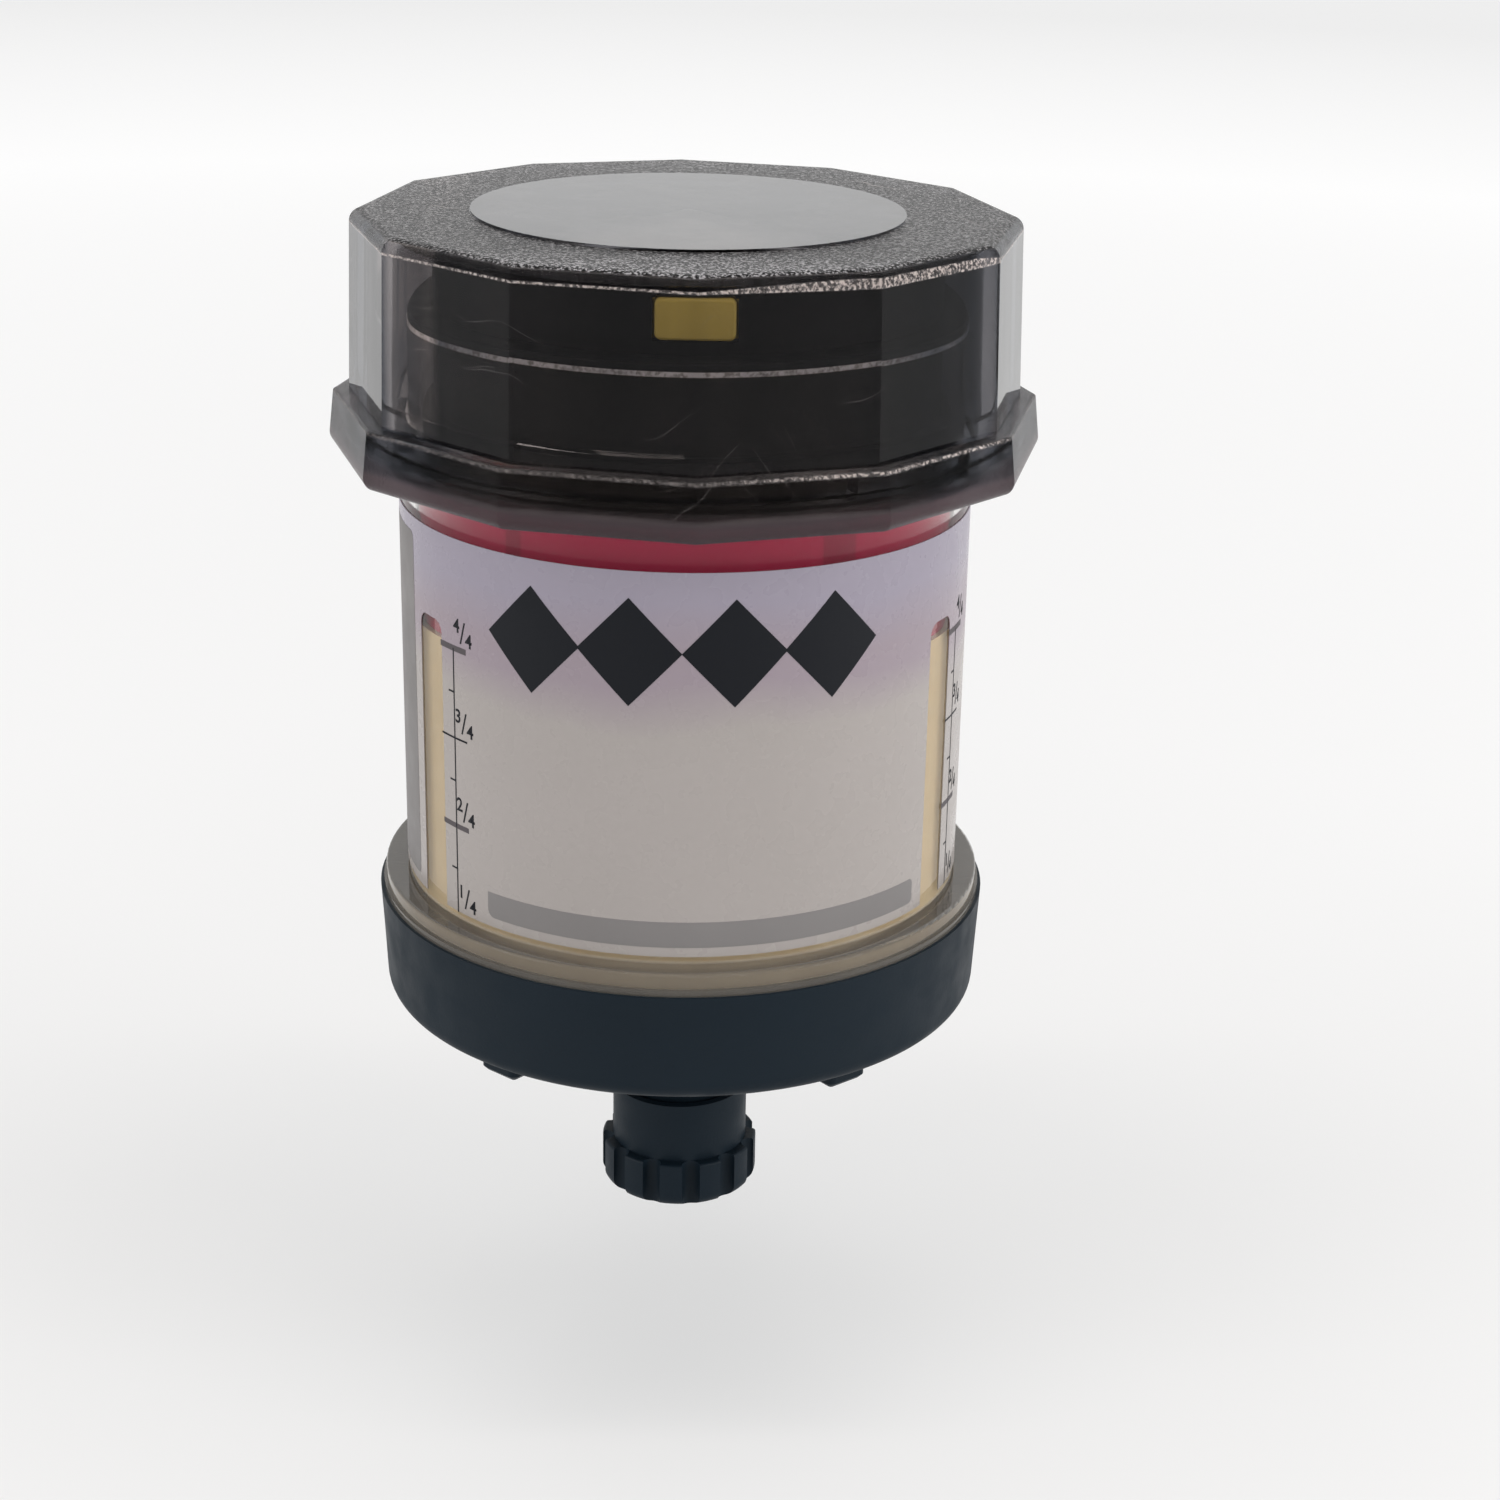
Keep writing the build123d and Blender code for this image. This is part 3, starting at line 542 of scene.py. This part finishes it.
def smoke_plastic():
    """Smoke cap: polished sides and disc, spark-eroded grain on the top and the skirt, light scratches, and
    painted highlights on its edges.
    """
    s = Shader("smoke_plastic")
    x, y, z = s.axes()
    radius = s.radius()
    outer = s.above(radius, SHELL_R)
    off_disc = s.above(radius, DISC_R + 0.05)
    top = s.times(s.fade_over(z, CAP_HIGH, GRAINED_TOP), off_disc)
    skirt = s.times(s.math("LESS_THAN", z, (LEDGE_HIGH + 0.3) * MM), outer)
    foot = s.times(s.fade_over(z, CAP_LOW, DULL_FOOT), outer)
    sparkle = s.between(s.noise(2200.0), 0.36, 0.62, 0.3, 1.0)
    # painted highlights on the edges, broken up by noise, with the real scratches added
    wear_and_highlight = s.times(rubbed_edges(s, z, outer), sparkle)
    wear_and_highlight = s.most(wear_and_highlight, s.times(scratches(s, x, y, z), 0.3))
    milky_and_highlight = s.most(top, wear_and_highlight)
    rounding = s.times(s.above(z, CAP_HIGH - CAP_EDGE), 0.5)
    grained = s.times(s.most(top, s.most(rounding, s.times(skirt, 0.4))), off_disc)
    fine = s.noise(GRAIN_SCALE, 2.0, 0.6)
    grain = s.times(fine, s.times(grained, GRAIN_DEPTH * MM))
    flow = s.times(s.noise(70.0, 1.0), FLOW_DEPTH * MM)
    inputs = {
        "Base Color": smoke_colour(s, fine, wear_and_highlight, milky_and_highlight, foot),
        "Roughness": s.between(s.most(milky_and_highlight, s.times(skirt, 0.75)), 0.0, 1.0, 0.03, 0.26),
        "IOR": 1.15,
        "Specular Tint": SMOKE_GLOSS,
        "Coat Weight": s.between(grained, 0.02, 0.1, 0.42, 0.0),
        "Coat IOR": 1.3,
        "Transmission Weight": s.between(s.most(milky_and_highlight, s.times(foot, 0.8)), 0.0, 1.0, 1.0, 0.5),
        "Normal": s.bump(s.plus(grain, flow), 1.0),
    }
    return see_through(s, inputs, SMOKE_PASSES)


def label_film():
    """White film on the reservoir, slightly see-through, with a soft sheen, and pink and lilac bands
    painted as light showing through it from behind.
    """
    s = Shader("label_film")
    z = s.axes()[2]
    height = s.plus(z, s.between(s.noise(28.0), 0.3, 0.7, -TINT_WANDER * MM, TINT_WANDER * MM))
    warm = s.mix(s.noise(30.0), *LABEL_WHITES)
    # painted light: pink and then lilac bands for light showing through the film from behind
    lower = s.mix(s.fade(height, *PAINTED_PINK_HEIGHTS), warm, PAINTED_PINK_LIGHT)
    film = s.principled({
        "Base Color": s.mix(s.fade(height, *PAINTED_LILAC_HEIGHTS), lower, PAINTED_LILAC_LIGHT),
        "Roughness": s.uneven(260.0, 0.22, 0.34),
        "Specular IOR Level": 0.4,
        "Alpha": 0.96,
    })
    shadow = s.make("ShaderNodeLightPath").outputs["Is Shadow Ray"]
    return s.surface(s.let_through(film, shadow, LABEL_PASSES))


def make_materials():
    """One material for each slot of the record, and the inks."""
    materials = {
        "clear_plastic": clear_plastic(),
        "smoke_plastic": smoke_plastic(),
        "label_film": label_film(),
        "grease_fill": grease_fill(),
        "red_plastic": red_plastic(),
    }
    for name, settings in MOULDED.items():
        materials[name] = moulded(name, **settings)
    for name, settings in METALS.items():
        materials[name] = metal(name, **settings)
    for name, base in INKS.items():
        materials[name] = ink(name, base)
    return materials


def dress_nodes():
    """Gives every carried-over node the material of its slot."""
    materials = make_materials()
    for part in frame["record"]["subparts"]:
        mesh = nodes[part["node"]].data
        mesh.materials.clear()
        mesh.materials.append(materials[part["material_slot"]])
    return materials


# --- Pieces made here ---

def new_piece(name, mesh, body, material):
    """Adds a mesh as a piece that rides on a body."""
    piece = bpy.data.objects.new(name, mesh)
    bpy.context.scene.collection.objects.link(piece)
    mesh.materials.append(material)
    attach(piece, body)
    return piece


def lathe(name, profile, steps=128):
    """Turns a closed profile of (radius, height) in millimetres about Z."""
    points = []
    for step in range(steps):
        angle = 2 * pi * step / steps
        points += [(r * MM * cos(angle), r * MM * sin(angle), z * MM) for r, z in profile]
    count = len(profile)
    faces = []
    for step in range(steps):
        here = step * count
        there = (step + 1) % steps * count
        for k in range(count):
            after = (k + 1) % count
            faces.append((here + k, there + k, there + after, here + after))
    mesh = bpy.data.meshes.new(name)
    mesh.from_pydata(points, [], faces)
    mesh.validate()
    return mesh


def add_grease(materials):
    """Grease that wets the wall, so that it shows without a gap behind the clear plastic."""
    wet_r = BORE_R + WET_OVERLAP
    low = [(SCREW_ROOM_R, GREASE_LOW), (wet_r, GREASE_LOW)]
    high = [(wet_r, GREASE_HIGH), (SCREW_ROOM_R, GREASE_HIGH)]
    mesh = lathe("grease_body", low + high)
    piece = new_piece("grease_body", mesh, "housing", materials["grease_fill"])
    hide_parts("grease")
    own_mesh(piece)


# --- Label print ---

def arc(angle):
    """Length round the label from the front, in millimetres."""
    return radians(angle) * LABEL_R


class Print:
    """Flat shapes that are wrapped round the label as thin ink."""

    def __init__(self):
        self.flat = bmesh.new()

    def shape(self, points):
        """Adds a filled outline. Points are (arc in millimetres, height)."""
        self.flat.faces.new([self.flat.verts.new((x, z, 0)) for x, z in points])

    def box(self, first, last, low, high):
        """Adds a rectangle between two angles and two heights."""
        left, right = arc(first), arc(last)
        self.shape([(left, low), (right, low), (right, high), (left, high)])

    def rounded(self, first, last, low, high, corners):
        """Adds a rectangle whose corners, from the lower left round, have these radii."""
        left, right = arc(first), arc(last)
        spots = ((left, low, 180), (right, low, 270), (right, high, 0), (left, high, 90))
        points = []
        for (x, z, start), radius in zip(spots, corners):
            middle_x = x + radius if x == left else x - radius
            middle_z = z + radius if z == low else z - radius
            for step in range(CORNER_STEPS + 1):
                turn = radians(start + 90 / CORNER_STEPS * step)
                points.append((middle_x + radius * cos(turn), middle_z + radius * sin(turn)))
        self.shape(points)

    def figure(self, text, angle, height):
        """Adds one printed figure, centred."""
        data = bpy.data.curves.new("figure", "FONT")
        data.body = text
        data.size = FIGURE_SIZE
        data.offset = FIGURE_WEIGHT
        data.align_x = "CENTER"
        holder = bpy.data.objects.new("figure", data)
        mesh = bpy.data.meshes.new_from_object(holder)
        mesh.transform(Matrix.Translation((arc(angle), height, 0)))
        self.flat.from_mesh(mesh)
        bpy.data.objects.remove(holder)
        bpy.data.meshes.remove(mesh)

    def cut_strips(self):
        """Cuts the shapes upright into narrow strips, which can follow the curve."""
        reach = int(max(abs(v.co.x) for v in self.flat.verts)) + 2
        for x in range(-reach, reach, STRIP_WIDTH):
            parts = self.flat.verts[:] + self.flat.edges[:] + self.flat.faces[:]
            cut = {"plane_co": (x, 0, 0), "plane_no": (1, 0, 0), "dist": CUT_TOLERANCE}
            bmesh.ops.bisect_plane(self.flat, geom=parts, **cut)

    def thicken(self):
        """Turns every face to the front and gives the shapes a front at a height of 1."""
        bmesh.ops.recalc_face_normals(self.flat, faces=self.flat.faces)
        for face in self.flat.faces:
            if face.normal.z < 0:
                face.normal_flip()
        front = bmesh.ops.extrude_face_region(self.flat, geom=self.flat.faces[:])["geom"]
        for item in front:
            if isinstance(item, bmesh.types.BMVert):
                item.co.z = 1.0

    def wrap(self, name):
        """Wraps the shapes round the label and gives the mesh."""
        bmesh.ops.remove_doubles(self.flat, verts=self.flat.verts, dist=JOIN_DISTANCE)
        self.cut_strips()
        self.thicken()
        for vert in self.flat.verts:
            x, z, lift = vert.co
            radius = LABEL_R - INK_SUNK + INK_THICK * lift
            angle = x / LABEL_R
            vert.co = Vector((radius * sin(angle), -radius * cos(angle), z)) * MM
        bmesh.ops.recalc_face_normals(self.flat, faces=self.flat.faces)
        mesh = bpy.data.meshes.new(name)
        self.flat.to_mesh(mesh)
        self.flat.free()
        return mesh


def fraction(dark, turn, height, quarters):
    """A number of quarters, printed above its bar."""
    middle = FRACTION_PLACE + turn
    dark.figure(str(quarters), middle + FRACTION_TOP[0], height + FRACTION_TOP[1])
    dark.figure("4", middle + FRACTION_FOOT[0], height + FRACTION_FOOT[1])
    left, right = (arc(middle + side) for side in SLASH_SPAN)
    low, high = (height + rise for rise in SLASH_RISE)
    dark.shape([(left, low), (left + SLASH_WIDTH, low), (right + SLASH_WIDTH, high), (right, high)])


def scale_marks(dark, grey):
    """The fill scales beside the three windows."""
    for turn in SECTORS:
        for height, quarters, thick in BARS:
            if thick:
                bar = grey if thick > GREY_BAR_THICK else dark
                bar.box(BAR_SPAN[0] + turn, BAR_SPAN[1] + turn, height - thick / 2, height + thick / 2)
            fraction(dark, turn, height, quarters)
        for height in TICK_HEIGHTS:
            dark.box(TICK_SPAN[0] + turn, TICK_SPAN[1] + turn, height - TICK_HALF, height + TICK_HALF)
        line = SCALE_LINE + turn
        dark.box(line - SCALE_LINE_HALF, line + SCALE_LINE_HALF, BARS[-1][0], BARS[0][0])


def diamonds(dark):
    """Four black diamonds that meet at their points."""
    half_x, half_z = DIAMOND_HALF
    for place in DIAMOND_PLACES:
        x = arc(place)
        dark.shape([(x - half_x, DIAMOND_MIDDLE), (x, DIAMOND_MIDDLE - half_z),
                    (x + half_x, DIAMOND_MIDDLE), (x, DIAMOND_MIDDLE + half_z)])


def add_print(materials):
    """Ink on the label in three tones."""
    dark, grey, pale = Print(), Print(), Print()
    scale_marks(dark, grey)
    diamonds(dark)
    first, last = FIELD_SPAN
    pale.rounded(first, last, *BAND_HEIGHTS, BAND_CORNERS)
    pale.rounded(first + PANEL_TURN, last + PANEL_TURN, BAND_HEIGHTS[0], PANEL_HIGH, PANEL_CORNERS)
    for tone, layer in (("black", dark), ("grey", grey), ("pale", pale)):
        name = "print_" + tone
        new_piece(name, layer.wrap(name), "housing", materials[tone + "_ink"])


# --- Studio ---

def add_area(name, place, width, height, power, tint):
    """A soft rectangular lamp aimed at the middle of the part."""
    data = bpy.data.lights.new(name, "AREA")
    data.shape = "RECTANGLE"
    data.size = width
    data.size_y = height
    data.energy = power
    data.color = tint
    lamp = bpy.data.objects.new(name, data)
    lamp.location = place
    lamp.rotation_euler = (Vector(LAMP_TARGET) - Vector(place)).to_track_quat("-Z", "Y").to_euler()
    lamp.visible_camera = False
    bpy.context.scene.collection.objects.link(lamp)


def add_world():
    """Even light on the object, and white where the surroundings are seen, mirrored or shine through."""
    world = bpy.data.worlds.new("studio")
    world.use_nodes = True
    g = Graph(world.node_tree)
    sky = g.make("ShaderNodeBackground", {"Color": WHITE, "Strength": SKY_LIGHT}).outputs[0]
    backdrop = g.make("ShaderNodeBackground", {"Color": WHITE, "Strength": 1.0}).outputs[0]
    either = g.make("ShaderNodeMixShader", {0: g.seen(), 1: sky, 2: backdrop}).outputs[0]
    g.make("ShaderNodeOutputWorld", {"Surface": either})
    bpy.context.scene.world = world


def floor_sheet():
    """Pale sheet, seen whiter and with a fainter shadow than the light that it throws on the object."""
    s = Shader("floor")
    away = s.radius()
    glow = 0.0
    for row in FLOOR_GLOW:
        glow = s.plus(s.between(away, *row), glow)
    seen = s.seen()
    return s.surface(s.principled({
        "Base Color": s.mix(seen, FLOOR_LIT, FLOOR_SEEN),
        "Roughness": 0.9,
        "Specular IOR Level": 0.1,
        "Emission Color": WHITE,
        "Emission Strength": s.times(glow, seen),
    }))


def add_floor():
    """Plain floor, far wider than the view, low enough for the outlet cap to come off above it."""
    half = FLOOR_HALF
    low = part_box("outlet_cap")[0].z - FLOOR_DROP * MM
    mesh = bpy.data.meshes.new("floor")
    corners = [(-half, -half, low), (half, -half, low), (half, half, low), (-half, half, low)]
    mesh.from_pydata(corners, [], [(0, 1, 2, 3)])
    mesh.materials.append(floor_sheet())
    floor = bpy.data.objects.new("floor", mesh)
    bpy.context.scene.collection.objects.link(floor)


def set_studio():
    """View transform, surroundings, floor and lamps."""
    bpy.context.scene.view_settings.view_transform = "Standard"
    add_world()
    add_floor()
    for lamp in LAMPS:
        add_area(*lamp)


add_camera()
set_studio()
materials = dress_nodes()
add_grease(materials)
add_print(materials)
